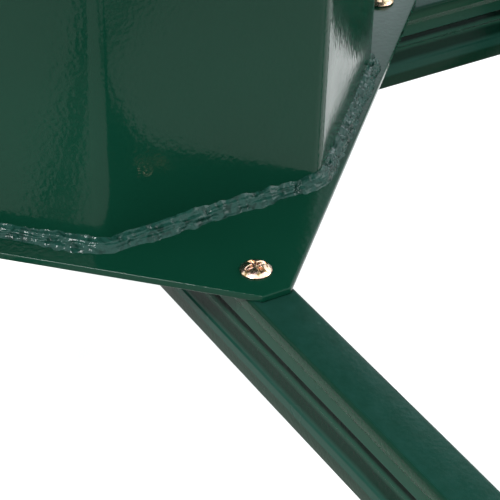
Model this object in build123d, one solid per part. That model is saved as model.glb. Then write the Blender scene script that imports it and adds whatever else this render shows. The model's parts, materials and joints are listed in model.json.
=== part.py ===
from build123d import *
import os
from math import atan, degrees, hypot, radians, sqrt, tan

# Single-wheel steel wheelbarrow.
# +X is forward, +Y is left and +Z is up. The origin is on the ground, under the middle of the
# barrow's length. A square base plate sits cornerwise on a cross of ribbed box beams, an
# octagonal tub is welded to the plate, and two handle tubes carry the beams and the wheel.

os.makedirs("parts", exist_ok=True)

# ---------------------------------------------------------------- driving dimensions, mm
overall_length = 1460.0
handle_spacing = 644.0        # between the two handle tubes' centre lines

plate_side = 330.0
plate_thickness = 4.0
plate_clip = 11.0             # cut off each corner of the plate, along the edge
plate_top = 300.0             # height of the plate's top face above the ground
screw_inset = 20.0            # from each plate edge to the screw's centre

beam_width = 25.0
beam_height = 50.0
beam_wall = 1.8
beam_corner = 2.6
beam_rib_depth = 3.4          # deepest point of the pressed ribs in the beam's sides
beam_rib_round = 0.6
beam_rib_steps = (            # share of the beam's height, share of the rib's depth
    (0.28, 0.0), (0.30, 0.25), (0.47, 1.0), (0.53, 0.40),
    (0.62, 0.95), (0.65, 0.45), (0.77, 0.75), (0.86, 0.0),
)
spine_rear_reach = 458.0      # from the plate's middle back to the spine's rear end
spine_front_overhang = 40.0   # spine beyond the plate's front corner
cross_overhang = 18.0         # cross beam beyond the handle tube's centre line
cap_thickness = 4.0
plug_inset = 6.0              # cap's plug inside the beam's outline
plug_depth = 8.0
clip_leg = 30.0               # welded angle clips where the beams meet
clip_thickness = 3.0

well_apothem = 152.0          # outside, at the plate
well_height = 168.0
well_flare_deg = 1.0
well_bend = 13.0              # outside radius of the vertical bends
well_offset = -6.4            # the tub stands this far to the right of the plate's middle
sheet = 2.0
hopper_wall = 2.6             # measured level; the sloping walls are about as thick as the sheet
weld_leg = 5.5
weld_toe = 0.6                # thickness left at a weld's thin edge
seam_leg = 3.3                # weld where the well meets the hopper

rim_front = 400.0             # from the plate's middle to the rim tube's centre line
rim_rear = 320.0
rim_half_width = 312.0
rim_chamfer = 135.0
rim_bend = 70.0
rim_height = 670.0            # rim tube's centre above the ground
rim_radius = 9.0
rim_wall = 1.5

handle_radius = 14.0
handle_wall = 2.0
handle_bend = 60.0
handle_rise_start = 80.0      # behind the plate's middle
handle_turn_reach = 40.0      # handles run parallel from this far ahead of the plate's middle
fork_straight = 120.0         # straight tube behind the axle
fork_ahead = 35.0             # tube beyond the axle
handle_end_height = 508.0
grip_length = 125.0
grip_radius = 18.0
grip_end = 6.0                # rubber beyond the tube's end
grip_flange = 22.5
grip_flange_thickness = 5.0
grip_round = 5.0
grip_lead = 12.0              # level tube ahead of the grip

wheel_radius = 200.0
tyre_half_width = 50.0
tyre_wall = 8.0
tyre_lip_rise = 22.0          # from the rim's lip to the tyre's widest point
tyre_shoulder_drop = 34.0     # from the crown down to the shoulder
groove_depth = 5.0
groove_width = 6.0
groove_reach = 13.0           # from the wheel's middle plane to a groove's outer edge
tube_wall = 3.0               # inner tube
tube_gap = 0.4
tube_root_gap = 2.0
tyre_seat_inset = 7.0         # from the tyre's widest point to the rim's lip
tyre_gap = 26.0               # between the spine's end cap and the tyre
axle_radius = 8.0
fork_half_gap = 73.0          # from the wheel's middle plane to a bracket's inner face
bracket_thickness = 6.0
bracket_half_length = 28.0
bracket_below = 26.0          # bracket's plate below the axle
bracket_round = 24.0
axle_head_across = 24.0
axle_head_height = 10.0
axle_nut_height = 13.0
axle_washer_radius = 15.0
spacer_radius = 11.5
sleeve_radius = 11.0

hub_half_length = 58.0
hub_outer = 23.0
hub_bore = 20.0
bearing_width = 12.0
bearing_recess = 2.0
race_inner_outer = 12.6
race_outer_inner = 16.4
ball_radius = 2.5
ball_count = 9
bearing_clearance = 0.04
bearing_shoulder = 2.5        # step inside the hub that the outer races stand on
seal_gap = 0.15
seal_thickness = 1.2
rim_seat = 87.0               # radius of the tyre's seat on the wheel rim
rim_lip = 104.0
rim_sheet = 3.0
rim_shoulder = 19.0           # width of the slope between the rim's web and its seat
rim_dish = 14.0               # how far the slope carries the sheet outwards
rim_bolt_circle = 45.0
rim_bolt_count = 4
valve_radius = 4.0
valve_clearance = 0.6
valve_length = 34.0
valve_inset = 11.0            # valve's centre line inside the tyre's seat
valve_root = 2.5              # stem's end past the tyre's seat, in the inner tube's wall
valve_cap_radius = 5.6
valve_cap_length = 12.0
valve_cap_end = 2.0

leg_radius = 12.5
leg_wall = 2.0
leg_bend = 55.0
leg_top_reach = 48.0          # leg's front post, behind the plate's middle
foot_front_reach = 130.0
foot_rear_reach = 215.0
leg_strut_reach = 345.0
shoe_base = 6.0               # shoe below the leg tube
shoe_height = 15.0
shoe_width = 34.0
shoe_inset = 6.0              # shoe's ends inside the leg's corners

tie_radius = 11.0
tie_wall = 2.0
tie_reach = 441.0             # rear tie, behind the plate's middle
tie_flat_half = 70.0
tie_bend = 70.0
tie_pad_length = 20.0
tie_pad_width = 18.0
tie_pad_rise = 8.0            # pad's height around the tube
tie_pad_base = 2.0            # thickness under the tube
bridge_width = 40.0
bridge_thickness = 6.0
bridge_inset = 18.0           # bridge's centre line behind the spine's front end
bridge_end = 30.0             # bridge beyond the handle tubes' centre lines
bridge_round = 2.0
cradle_width = 44.0           # blocks between the bridge and the handle tubes
cradle_drop = 2.0             # cradle's top below the tube's centre line

bolt_radius = 4.0             # M8
bolt_clearance = 0.4
head_across = 13.0
head_height = 5.3
nut_height = 6.5
washer_radius = 8.0
washer_thickness = 1.6
bolt_tail = 3.0               # thread beyond a nut
saddle_length = 20.0          # pads that seat the bolt heads on round tubes
saddle_width = 18.0
saddle_rise = 3.0             # flat top above the tube
saddle_skirt = 6.0            # lower edge above the tube's centre line
small_bolt_radius = 3.0       # M6
small_head_across = 10.0
small_head_height = 4.0
small_nut_height = 5.0
screw_head_radius = 8.0
screw_head_height = 4.6
screw_head_edge = 1.2         # upright edge of the head
screw_length = 20.0           # under the head, into a nut inside the beam
recess_length = 9.0
recess_width = 1.7
recess_depth = 2.6

stay_width = 25.0
stay_thickness = 4.0
stay_reach = 40.0             # side stays, behind the plate's middle
stay_toe = 14.0               # stay below its bolt
stay_kink = 20.0              # stay upright above its bolt, then leaning in to the rim
brace_width = 30.0
brace_top_height = 590.0
brace_end = 15.0              # bar beyond its lower bolt and beyond its top mark
tab_length = 46.0
tab_width = 26.0
tab_lap = 2.0                 # tab's overlap past the bar's middle plane
tab_bolt_inset = 10.0         # from the tab's upper end
tab_bolt_reach = 12.0         # from the bar's middle plane

# ---------------------------------------------------------------- places that follow from them
plate_half_diagonal = plate_side / sqrt(2)
spine_front = plate_half_diagonal + spine_front_overhang
plate_to_axle = spine_front + cap_thickness + tyre_gap + wheel_radius
plate_x = overall_length / 2 - wheel_radius - plate_to_axle
axle_x = plate_x + plate_to_axle
axle_z = wheel_radius
rear_x = -overall_length / 2
beam_top = plate_top - plate_thickness
beam_bottom = beam_top - beam_height
cross_end = handle_spacing / 2 + cross_overhang
handle_y = handle_spacing / 2
fork_y = fork_half_gap + bracket_thickness / 2
handle_level = beam_top + handle_radius
fork_level = beam_bottom      # the tubes' centre lines at the wheel
fork_run = axle_x - fork_straight - plate_x - handle_turn_reach
fork_turn = atan(hypot(handle_y - fork_y, handle_level - fork_level) / fork_run)
fork_bend_start = fork_straight - handle_bend * tan(fork_turn / 2)
brace_foot_reach = fork_bend_start - brace_width / 2    # brace's lower bolt, behind the axle
valve_circle = rim_seat - valve_inset
well_top = plate_top + well_height
well_top_apothem = well_apothem + well_height * tan(radians(well_flare_deg))
bridge_x = plate_x + spine_front - bridge_inset
tie_pad_low = beam_bottom - 2 * tie_radius - tie_pad_base
sides = (("left", 1), ("right", -1))


def save(node, shape):
    shape.label = node
    export_step(shape, "parts/" + node + ".step")


def group(solids):
    return Compound(children=list(solids))


def block(x0, x1, y0, y1, z0, z1):
    size = (abs(x1 - x0), abs(y1 - y0), abs(z1 - z0))
    return Pos((x0 + x1) / 2, (y0 + y1) / 2, (z0 + z1) / 2) * Box(*size)


def rod(radius, start, end):
    run = Vector(*end) - Vector(*start)
    place = Plane(origin=start, z_dir=run)
    return extrude(place * Circle(radius), run.length)


def octagon(front, rear, half_width, chamfer, bend, z, centre_y=0.0):
    """A rectangle about the plate's middle, its corners cut at 45 degrees and rounded."""
    points = [
        (front, half_width - chamfer), (front - chamfer, half_width),
        (chamfer - rear, half_width), (-rear, half_width - chamfer),
        (-rear, chamfer - half_width), (chamfer - rear, -half_width),
        (front - chamfer, -half_width), (front, chamfer - half_width),
    ]
    face = Polygon(*points, align=None)
    if bend > 0:
        face = fillet(face.vertices(), bend)
    return Pos(plate_x, centre_y, z) * face


def regular_octagon(apothem, bend, z):
    chamfer = apothem * (2 - sqrt(2))
    return octagon(apothem, apothem, apothem, chamfer, bend, z, well_offset)


def rim_octagon(inset, z):
    front = rim_front - inset
    rear = rim_rear - inset
    half_width = rim_half_width - inset
    chamfer = rim_chamfer - inset * (2 - sqrt(2))
    return octagon(front, rear, half_width, chamfer, rim_bend - inset, z)


def between(lower, upper):
    return loft([lower, upper], ruled=True)


# ---------------------------------------------------------------- fasteners
def hexagon(across, height):
    return extrude(RegularPolygon(across / 2, 6, major_radius=False), height)


def hex_bolt(radius, across, head, length):
    """Head above z = 0, shank below."""
    return hexagon(across, head) + Pos(0, 0, -length) * extrude(Circle(radius), length)


def nut_body(radius, across, height):
    """Nut with its top face at z = 0."""
    return Pos(0, 0, -height) * (hexagon(across, height) - extrude(Circle(radius), height))


def washer_body():
    ring = Circle(washer_radius) - Circle(bolt_radius)
    return Pos(0, 0, -washer_thickness) * extrude(ring, washer_thickness)


def pan_screw(length):
    """Domed head with a cross recess, seated on z = 0."""
    rim = (screw_head_radius, screw_head_edge)
    profile = Polyline((0, 0), (screw_head_radius, 0), rim)
    shoulder = (screw_head_radius * 0.72, screw_head_height * 0.78)
    crown = ThreePointArc(rim, shoulder, (0, screw_head_height))
    face = make_face(profile + crown + Line((0, screw_head_height), (0, 0)))
    head = revolve(Plane.XZ * face, Axis.Z)
    recess_base = screw_head_height - recess_depth
    slot = Box(recess_length, recess_width, 2 * recess_depth)
    cross = Pos(0, 0, recess_base + recess_depth) * (slot + Rot(0, 0, 90) * slot)
    return head - cross + Pos(0, 0, -length) * extrude(Circle(bolt_radius), length)


def hole(radius, x, y, z0, z1):
    return rod(radius, (x, y, z0), (x, y, z1))


# ---------------------------------------------------------------- beams
def beam_section():
    """Box section with a stepped rib pressed into each side, standing on y = 0."""
    half = beam_width / 2
    ribs = [(half - d * beam_rib_depth, h * beam_height) for h, d in beam_rib_steps]
    right = [(half, 0), *ribs, (half, beam_height)]
    left = [(-x, y) for x, y in reversed(right)]
    outer = Polygon(*right, *left, align=None)
    inner_right = [(x - beam_wall, y) for x, y in right[1:-1]]
    inner_right = [(half - beam_wall, beam_wall)] + inner_right
    inner_right = inner_right + [(half - beam_wall, beam_height - beam_wall)]
    inner_left = [(-x, y) for x, y in reversed(inner_right)]
    inner = Polygon(*inner_right, *inner_left, align=None)
    outer = fillet(outer.vertices().filter_by(is_beam_corner), beam_corner)
    return fillet(outer.vertices().filter_by(is_rib_edge), beam_rib_round) - inner


def is_beam_corner(vertex):
    return vertex.Y < 0.01 or vertex.Y > beam_height - 0.01


def is_rib_edge(vertex):
    return 0.2 * beam_height < vertex.Y < 0.9 * beam_height


def beam_along_x(x0, x1):
    place = Plane(origin=(x0, 0, beam_bottom), x_dir=(0, 1, 0), z_dir=(1, 0, 0))
    return extrude(place * beam_section(), x1 - x0)


def beam_along_y(side):
    start = side * cross_end
    place = Plane(origin=(plate_x, start, beam_bottom), x_dir=(side, 0, 0), z_dir=(0, -side, 0))
    return extrude(place * beam_section(), cross_end - beam_width / 2)


def plate_screw_places():
    reach = plate_half_diagonal - screw_inset * sqrt(2)
    return [(plate_x + reach, 0), (plate_x - reach, 0), (plate_x, reach), (plate_x, -reach)]


def through_holes(places, z0, z1):
    radius = bolt_radius + bolt_clearance
    return [hole(radius, x, y, z0, z1) for x, y in places]


def make_spine_beam():
    beam = beam_along_x(plate_x - spine_rear_reach, plate_x + spine_front)
    places = [(bridge_x, 0), (plate_x - tie_reach, 0)]
    cutters = through_holes(places, beam_bottom - 1, beam_top + 1)
    cutters += through_holes(plate_screw_places()[:2], beam_top - beam_wall - 1, beam_top + 1)
    for cutter in cutters:
        beam -= cutter
    return beam


def make_cross_beam(side):
    beam = beam_along_y(side)
    screws = [(x, y) for x, y in plate_screw_places() if y * side > 1]
    cutters = through_holes(screws, beam_top - beam_wall - 1, beam_top + 1)
    cutters += through_holes([(plate_x, side * handle_y)], beam_bottom - 1, beam_top + 1)
    for cutter in cutters:
        beam -= cutter
    return beam


def make_end_caps():
    rounded = RectangleRounded(beam_width, beam_height, beam_corner)
    plug = Rectangle(beam_width - 2 * plug_inset, beam_height - 2 * plug_inset)
    cap = extrude(rounded, cap_thickness) + extrude(plug, -plug_depth)
    middle = beam_bottom + beam_height / 2
    spine_ends = (
        Plane((plate_x + spine_front, 0, middle), x_dir=(0, 1, 0), z_dir=(1, 0, 0)),
        Plane((plate_x - spine_rear_reach, 0, middle), x_dir=(0, -1, 0), z_dir=(-1, 0, 0)),
    )
    cross_ends = [
        Plane((plate_x, s * cross_end, middle), x_dir=(-s, 0, 0), z_dir=(0, s, 0))
        for _, s in sides
    ]
    return group([place * cap for place in (*spine_ends, *cross_ends)])


def make_beam_clips():
    """Four angle clips in the corners where the cross beams meet the spine."""
    half = beam_width / 2
    clips = []
    for sx in (1, -1):
        for sy in (1, -1):
            x0, y0 = plate_x + sx * half, sy * half
            z0, z1 = beam_bottom + beam_corner, beam_top - beam_corner
            along_x = block(x0, x0 + sx * clip_leg, y0, y0 + sy * clip_thickness, z0, z1)
            along_y = block(x0, x0 + sx * clip_thickness, y0, y0 + sy * clip_leg, z0, z1)
            clips.append(along_x + along_y)
    return group(clips)


# ---------------------------------------------------------------- base plate and tub
def make_base_plate():
    plate = Rot(0, 0, 45) * Rectangle(plate_side, plate_side)
    plate = chamfer(plate.vertices(), plate_clip)
    body = Pos(plate_x, 0, beam_top) * extrude(plate, plate_thickness)
    for cutter in through_holes(plate_screw_places(), beam_top - 1, plate_top + 1):
        body -= cutter
    return body


def well_solid(inset):
    lower = regular_octagon(well_apothem - inset, well_bend - inset, plate_top)
    upper = regular_octagon(well_top_apothem - inset, well_bend - inset, well_top)
    return between(lower, upper)


def make_tub_well():
    return well_solid(0) - well_solid(sheet)


def hopper_solid(inset):
    lower = regular_octagon(well_top_apothem - inset, well_bend - inset, well_top)
    return between(lower, rim_octagon(inset, rim_height - rim_radius / 2))


def rim_sweep(section):
    path = rim_octagon(0, rim_height).wire()
    return sweep(Plane(origin=path @ 0, z_dir=path % 0) * section, path)


def make_rim_tube():
    return rim_sweep(Circle(rim_radius) - Circle(rim_radius - rim_wall))


def rim_core():
    return rim_sweep(Circle(rim_radius))


def make_tub_hopper():
    shell = hopper_solid(0)
    for _, side in sides:
        shell -= tab_bolt_cutter(side)
    shell = shell - hopper_solid(hopper_wall) - rim_core()
    return max(shell.solids(), key=lambda s: s.volume)


def make_base_weld():
    lower = regular_octagon(well_apothem + weld_leg, well_bend + weld_leg, plate_top)
    upper = regular_octagon(well_apothem + weld_toe, well_bend + weld_toe, plate_top + weld_leg)
    return between(lower, upper) - well_solid(0)


def make_seam_weld():
    bend = well_bend + seam_leg
    low = regular_octagon(well_top_apothem + weld_toe, well_bend, well_top - seam_leg)
    mid = regular_octagon(well_top_apothem + seam_leg, bend, well_top)
    high = regular_octagon(well_top_apothem + 1.4 * seam_leg, bend, well_top + seam_leg)
    return between(low, mid) + between(mid, high) - well_solid(0) - hopper_solid(0)


# ---------------------------------------------------------------- handles and front end
def handle_points(side):
    level_x = rear_x + grip_end + grip_length + grip_lead
    return [
        (axle_x + fork_ahead, side * fork_y, fork_level),
        (axle_x - fork_straight, side * fork_y, fork_level),
        (plate_x + handle_turn_reach, side * handle_y, handle_level),
        (plate_x - handle_rise_start, side * handle_y, handle_level),
        (level_x, side * handle_y, handle_end_height),
        (rear_x + grip_end, side * handle_y, handle_end_height),
    ]


def handle_at(x):
    """Distance from the middle plane and height of a handle's centre line at x."""
    points = handle_points(1)
    for a, b in zip(points, points[1:]):
        if b[0] <= x <= a[0]:
            share = (a[0] - x) / (a[0] - b[0])
            return a[1] + share * (b[1] - a[1]), a[2] + share * (b[2] - a[2])
    return points[-1][1], points[-1][2]


def handle_sweep(side, section):
    path = FilletPolyline(*handle_points(side), radius=handle_bend)
    return sweep(Plane(origin=path @ 0, z_dir=path % 0) * section, path)


def handle_core(side):
    return handle_sweep(side, Circle(handle_radius))


def make_handle_tube(side):
    tube = handle_sweep(side, Circle(handle_radius) - Circle(handle_radius - handle_wall))
    for x, y in handle_bolt_places(side):
        tube -= hole(bolt_radius + bolt_clearance, x, y, 0, handle_end_height)
    tube -= side_stay_hole(side)
    tube -= brace_hole(side)
    return tube


def handle_bolt_places(side):
    bridge_y, _ = handle_at(bridge_x)
    return [(plate_x, side * handle_y), (bridge_x, side * bridge_y)]


def make_grip(side):
    y, z = side * handle_y, handle_end_height
    start = rear_x + grip_end + grip_length
    body = rod(grip_radius, (start, y, z), (rear_x, y, z))
    body += rod(grip_flange, (start, y, z), (start - grip_flange_thickness, y, z))
    end_edges = [e for e in body.edges() if e.center().X < rear_x + 1]
    body = fillet(end_edges, grip_round)
    return body - rod(handle_radius, (start + 1, y, z), (rear_x + grip_end, y, z))


def make_bolt_saddles():
    """Shaped pads that seat the bolt heads on the round tubes."""
    pads = []
    for _, side in sides:
        for x, y in handle_bolt_places(side):
            _, level = handle_at(x)
            top = level + handle_radius + saddle_rise
            body = Box(saddle_length, saddle_width, top - level - saddle_skirt)
            pad = Pos(x, y, (top + level + saddle_skirt) / 2) * body - handle_core(side)
            pads.append(pad - hole(bolt_radius + bolt_clearance, x, y, level, top + 1))
    return group(pads)


def make_bridge_blocks():
    """Cradles between the front bridge and the sloping handle tubes."""
    blocks = []
    for _, side in sides:
        x, y = handle_bolt_places(side)[1]
        _, level = handle_at(x)
        half = bridge_width / 2
        y0, y1 = y - cradle_width / 2, y + cradle_width / 2
        cradle = block(x - half, x + half, y0, y1, beam_bottom, level - cradle_drop)
        cradle -= handle_core(side)
        cradle = max(cradle.solids(), key=lambda s: s.volume)
        blocks.append(cradle - hole(bolt_radius + bolt_clearance, x, y, beam_bottom - 1, level))
    return group(blocks)


def make_front_bridge():
    reach, _ = handle_at(bridge_x)
    half = bridge_width / 2
    top, low = beam_bottom, beam_bottom - bridge_thickness
    end = reach + bridge_end
    bar = block(bridge_x - half, bridge_x + half, -end, end, low, top)
    places = [(bridge_x, 0), (bridge_x, reach), (bridge_x, -reach)]
    for cutter in through_holes(places, low - 1, top + 1):
        bar -= cutter
    corners = [e for e in bar.edges().filter_by(Axis.Z) if abs(e.center().Y) > reach + bolt_radius * 2]
    return fillet(corners, bridge_round)


def frame_bolts():
    """Each vertical frame bolt as x, y, seat height of the head and seat height of the nut."""
    low = beam_bottom - bridge_thickness
    bolts = [(bridge_x, 0, beam_top, low)]
    bolts += [(plate_x - tie_reach, 0, beam_top, tie_pad_low)]
    for _, side in sides:
        cross, bridge = handle_bolt_places(side)
        _, bridge_level = handle_at(bridge_x)
        bolts += [(*cross, handle_level + handle_radius + saddle_rise, beam_bottom)]
        bolts += [(*bridge, bridge_level + handle_radius + saddle_rise, low)]
    return bolts


def make_frame_bolts():
    grip = washer_thickness + nut_height + bolt_tail
    return group([
        Pos(x, y, top) * hex_bolt(bolt_radius, head_across, head_height, top - low + grip)
        for x, y, top, low in frame_bolts()
    ])


def make_frame_washers():
    return group([Pos(x, y, low) * washer_body() for x, y, _, low in frame_bolts()])


def make_frame_nuts():
    nut = Pos(0, 0, -washer_thickness) * nut_body(bolt_radius, head_across, nut_height)
    return group([Pos(x, y, low) * nut for x, y, _, low in frame_bolts()])


def make_plate_screws():
    screw = pan_screw(screw_length)
    return group([
        Pos(x, y, plate_top) * Rot(0, 0, 25 + 70 * i) * screw
        for i, (x, y) in enumerate(plate_screw_places())
    ])


def make_plate_nuts():
    """Captive nuts, welded under the top wall inside the beams."""
    nut = nut_body(bolt_radius, head_across, nut_height)
    seat = beam_top - beam_wall
    return group([Pos(x, y, seat) * nut for x, y in plate_screw_places()])


# ---------------------------------------------------------------- legs and rear tie
def leg_points(side):
    low = shoe_base + leg_radius
    strut_x = plate_x - leg_strut_reach
    return [
        (plate_x - leg_top_reach, side * handle_y, handle_level),
        (plate_x - foot_front_reach, side * handle_y, low),
        (plate_x - foot_rear_reach, side * handle_y, low),
        (strut_x, side * handle_y, handle_at(strut_x)[1]),
    ]


def leg_sweep(side, section):
    path = FilletPolyline(*leg_points(side), radius=leg_bend)
    return sweep(Plane(origin=path @ 0, z_dir=path % 0) * section, path)


def make_leg(side):
    tube = leg_sweep(side, Circle(leg_radius) - Circle(leg_radius - leg_wall))
    tube -= handle_core(side)
    return max(tube.solids(), key=lambda s: s.volume)


def make_foot_shoe(side):
    x0 = plate_x - foot_rear_reach + shoe_inset
    x1 = plate_x - foot_front_reach - shoe_inset
    y = side * handle_y
    half = shoe_width / 2
    shoe = block(x0, x1, y - half, y + half, 0, shoe_height)
    shoe -= leg_sweep(side, Circle(leg_radius))
    return max(shoe.solids(), key=lambda s: s.volume)


def make_rear_tie():
    x = plate_x - tie_reach
    low = beam_bottom - tie_radius
    _, level = handle_at(x)
    points = [
        (x, handle_y, level), (x, tie_flat_half, low),
        (x, -tie_flat_half, low), (x, -handle_y, level),
    ]
    path = FilletPolyline(*points, radius=tie_bend)
    section = Circle(tie_radius) - Circle(tie_radius - tie_wall)
    tube = sweep(Plane(origin=path @ 0, z_dir=path % 0) * section, path)
    for _, side in sides:
        tube -= handle_core(side)
    tube = max(tube.solids(), key=lambda s: s.volume)
    drill = hole(bolt_radius + bolt_clearance, x, 0, low - 2 * tie_radius, low + 2 * tie_radius)
    return tube - drill


def make_tie_pad():
    """Shaped pad under the rear tie that gives its nut a flat seat."""
    x = plate_x - tie_reach
    low = tie_pad_low
    pad = Pos(x, 0, low + tie_pad_rise / 2) * Box(tie_pad_width, tie_pad_length, tie_pad_rise)
    level = beam_bottom - tie_radius
    pad -= rod(tie_radius, (x, -tie_pad_length, level), (x, tie_pad_length, level))
    return pad - hole(bolt_radius + bolt_clearance, x, 0, low - 1, beam_bottom)


# ---------------------------------------------------------------- stays and braces
def stay_face():
    return handle_y + handle_radius


def side_stay_hole(side):
    radius = small_bolt_radius + bolt_clearance
    x = plate_x - stay_reach
    start, end = side * (handle_y - 2 * handle_radius), side * (handle_y + 2 * handle_radius)
    return rod(radius, (x, start, handle_level), (x, end, handle_level))


def make_side_stay(side):
    """Flat bar from the handle tube's outer face up to the rim tube."""
    near, far = stay_face(), stay_face() + stay_thickness
    lean = near - rim_half_width - stay_thickness / 2
    toe, kink = handle_level - stay_toe, handle_level + stay_kink
    points = [
        (near, toe), (far, toe), (far, kink),
        (far - lean, rim_height), (near - lean, rim_height), (near, kink),
    ]
    face = Plane.YZ * Polygon(*[(side * y, z) for y, z in points], align=None)
    bar = Pos(plate_x - stay_reach, 0, 0) * extrude(face, stay_width / 2, both=True)
    bar -= rim_core()
    bar = max(bar.solids(), key=lambda s: s.volume)
    return bar - side_stay_hole(side)


def brace_foot():
    return axle_x - brace_foot_reach, fork_level


def brace_y():
    return fork_y + handle_radius + stay_thickness / 2


def brace_hole(side):
    x, z = brace_foot()
    radius = small_bolt_radius + bolt_clearance
    start, end = side * (fork_y - 2 * handle_radius), side * (fork_y + 2 * handle_radius)
    return rod(radius, (x, start, z), (x, end, z))


def hopper_front_at(z):
    """Outer face of the hopper's front wall at height z, as x."""
    top = rim_height - rim_radius / 2
    share = (z - well_top) / (top - well_top)
    return plate_x + well_top_apothem + share * (rim_front - well_top_apothem)


def hopper_front_angle():
    top = rim_height - rim_radius / 2
    return degrees(atan((top - well_top) / (rim_front - well_top_apothem)))


def brace_tab_place(side):
    x = hopper_front_at(brace_top_height)
    return Pos(x, side * brace_y(), brace_top_height) * Rot(0, -hopper_front_angle(), 0)


def tab_bolt_place(side):
    inset = tab_length / 2 - tab_bolt_inset
    return brace_tab_place(side) * Pos(inset, side * tab_bolt_reach, 0)


def tab_bolt_cutter(side):
    """Cutter for the bolt that holds a brace's tab to the hopper."""
    drill = extrude(Circle(small_bolt_radius + bolt_clearance), tab_length / 2, both=True)
    return tab_bolt_place(side) * drill


def make_front_brace(side):
    """Flat bar from the handle tube up to a tab on the hopper's front wall."""
    foot_x, foot_z = brace_foot()
    top_x = hopper_front_at(brace_top_height)
    run = Vector(top_x - foot_x, 0, brace_top_height - foot_z)
    place = Plane(origin=(foot_x, side * brace_y(), foot_z), x_dir=(0, 1, 0), z_dir=run)
    bar = extrude(place * Rectangle(stay_thickness, brace_width), run.length + brace_end)
    bar += extrude(place * Rectangle(stay_thickness, brace_width), -brace_end)
    y0, y1 = -tab_lap * side, tab_width * side
    tab = block(-tab_length / 2, tab_length / 2, y0, y1, -stay_thickness, 0)
    tab = brace_tab_place(side) * tab
    piece = bar + tab - hopper_solid(0)
    piece = max(piece.solids(), key=lambda s: s.volume)
    return piece - brace_hole(side) - tab_bolt_cutter(side)


def make_stay_bolts():
    """M6 bolts of the side stays, the braces' feet and the braces' tabs."""
    bolts = []
    for _, side in sides:
        x = plate_x - stay_reach
        seat = stay_face() + stay_thickness
        length = 2 * handle_radius + stay_thickness + small_nut_height + bolt_tail
        bolt = hex_bolt(small_bolt_radius, small_head_across, small_head_height, length)
        turn = Rot(-90 * side, 0, 0)
        bolts.append(Pos(x, side * seat, handle_level) * turn * bolt)
        foot_x, foot_z = brace_foot()
        foot_seat = brace_y() + stay_thickness / 2
        bolts.append(Pos(foot_x, side * foot_seat, foot_z) * turn * bolt)
        through = stay_thickness + sheet + small_nut_height + bolt_tail
        short = hex_bolt(small_bolt_radius, small_head_across, small_head_height, through)
        outside = tab_bolt_place(side) * Pos(0, 0, -stay_thickness)
        bolts.append(outside * Rot(180, 0, 0) * short)
    return group(bolts)


def make_stay_nuts():
    nuts = []
    nut = nut_body(small_bolt_radius, small_head_across, small_nut_height)
    for _, side in sides:
        turn = Rot(-90 * side, 0, 0)
        x = plate_x - stay_reach
        nuts.append(Pos(x, side * (handle_y - handle_radius), handle_level) * turn * nut)
        foot_x, foot_z = brace_foot()
        nuts.append(Pos(foot_x, side * (fork_y - handle_radius), foot_z) * turn * nut)
        inside = tab_bolt_place(side) * Pos(0, 0, sheet)
        nuts.append(inside * Rot(180, 0, 0) * nut)
    return group(nuts)


# ---------------------------------------------------------------- axle and wheel
def about_axle(shape):
    """Put a shape made around +Z onto the axle, with +Z turned to +Y."""
    return Pos(axle_x, 0, axle_z) * Rot(-90, 0, 0) * shape


def ring(inner, outer, y0, y1):
    return about_axle(Pos(0, 0, y0) * extrude(Circle(outer) - Circle(inner), y1 - y0))


def spun(points):
    """Revolve a closed outline of (radius, distance from the middle plane) about the axle."""
    return about_axle(revolve(Plane.XZ * Polygon(*points, align=None), Axis.Z))


def make_axle_bracket(side):
    y0, y1 = side * fork_half_gap, side * (fork_half_gap + bracket_thickness)
    x0, x1 = axle_x - bracket_half_length, axle_x + bracket_half_length
    plate = block(x0, x1, y0, y1, axle_z - bracket_below, fork_level)
    lower = plate.edges().filter_by(Axis.Y).sort_by(Axis.Z)[:2]
    plate = fillet(lower, bracket_round)
    plate -= handle_core(side)
    plate = max(plate.solids(), key=lambda s: s.volume)
    reach = 2 * fork_half_gap
    return plate - rod(axle_radius, (axle_x, -reach, axle_z), (axle_x, reach, axle_z))


def make_axle_bolt():
    outer = fork_half_gap + bracket_thickness + washer_thickness
    tail = outer + axle_nut_height + bolt_tail
    shank = about_axle(Pos(0, 0, -outer) * extrude(Circle(axle_radius), outer + tail))
    head = hexagon(axle_head_across, axle_head_height)
    return shank + about_axle(Pos(0, 0, -outer - axle_head_height) * head)


def make_axle_nut():
    outer = fork_half_gap + bracket_thickness + washer_thickness
    body = hexagon(axle_head_across, axle_nut_height)
    nut = body - extrude(Circle(axle_radius), axle_nut_height)
    return about_axle(Pos(0, 0, outer) * nut)


def make_axle_washers():
    outer = fork_half_gap + bracket_thickness
    return group([
        ring(axle_radius, axle_washer_radius, outer, outer + washer_thickness),
        ring(axle_radius, axle_washer_radius, -outer - washer_thickness, -outer),
    ])


def bearing_span():
    """Inner and outer distance of a bearing from the wheel's middle plane."""
    outer = hub_half_length - bearing_recess
    return outer - bearing_width, outer


def make_axle_spacers():
    _, outer = bearing_span()
    return group([
        ring(axle_radius, spacer_radius, outer, fork_half_gap),
        ring(axle_radius, spacer_radius, -fork_half_gap, -outer),
    ])


def make_hub_sleeve():
    inner, _ = bearing_span()
    return ring(axle_radius, sleeve_radius, -inner, inner)


def ball_pitch():
    return (race_inner_outer + race_outer_inner) / 2


def ball_groove(y):
    return about_axle(Pos(0, 0, y) * Torus(ball_pitch(), ball_radius + bearing_clearance))


def bearing_centres():
    inner, outer = bearing_span()
    return (inner + outer) / 2, -(inner + outer) / 2


def make_races(inner_radius, outer_radius):
    half = bearing_width / 2
    races = []
    for centre in bearing_centres():
        race = ring(inner_radius, outer_radius, centre - half, centre + half)
        races.append(race - ball_groove(centre))
    return group(races)


def make_bearing_balls():
    balls = []
    for centre in bearing_centres():
        for i in range(ball_count):
            turn = Rot(0, 0, 360 / ball_count * i)
            balls.append(about_axle(turn * Pos(ball_pitch(), 0, centre) * Sphere(ball_radius)))
    return group(balls)


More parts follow.
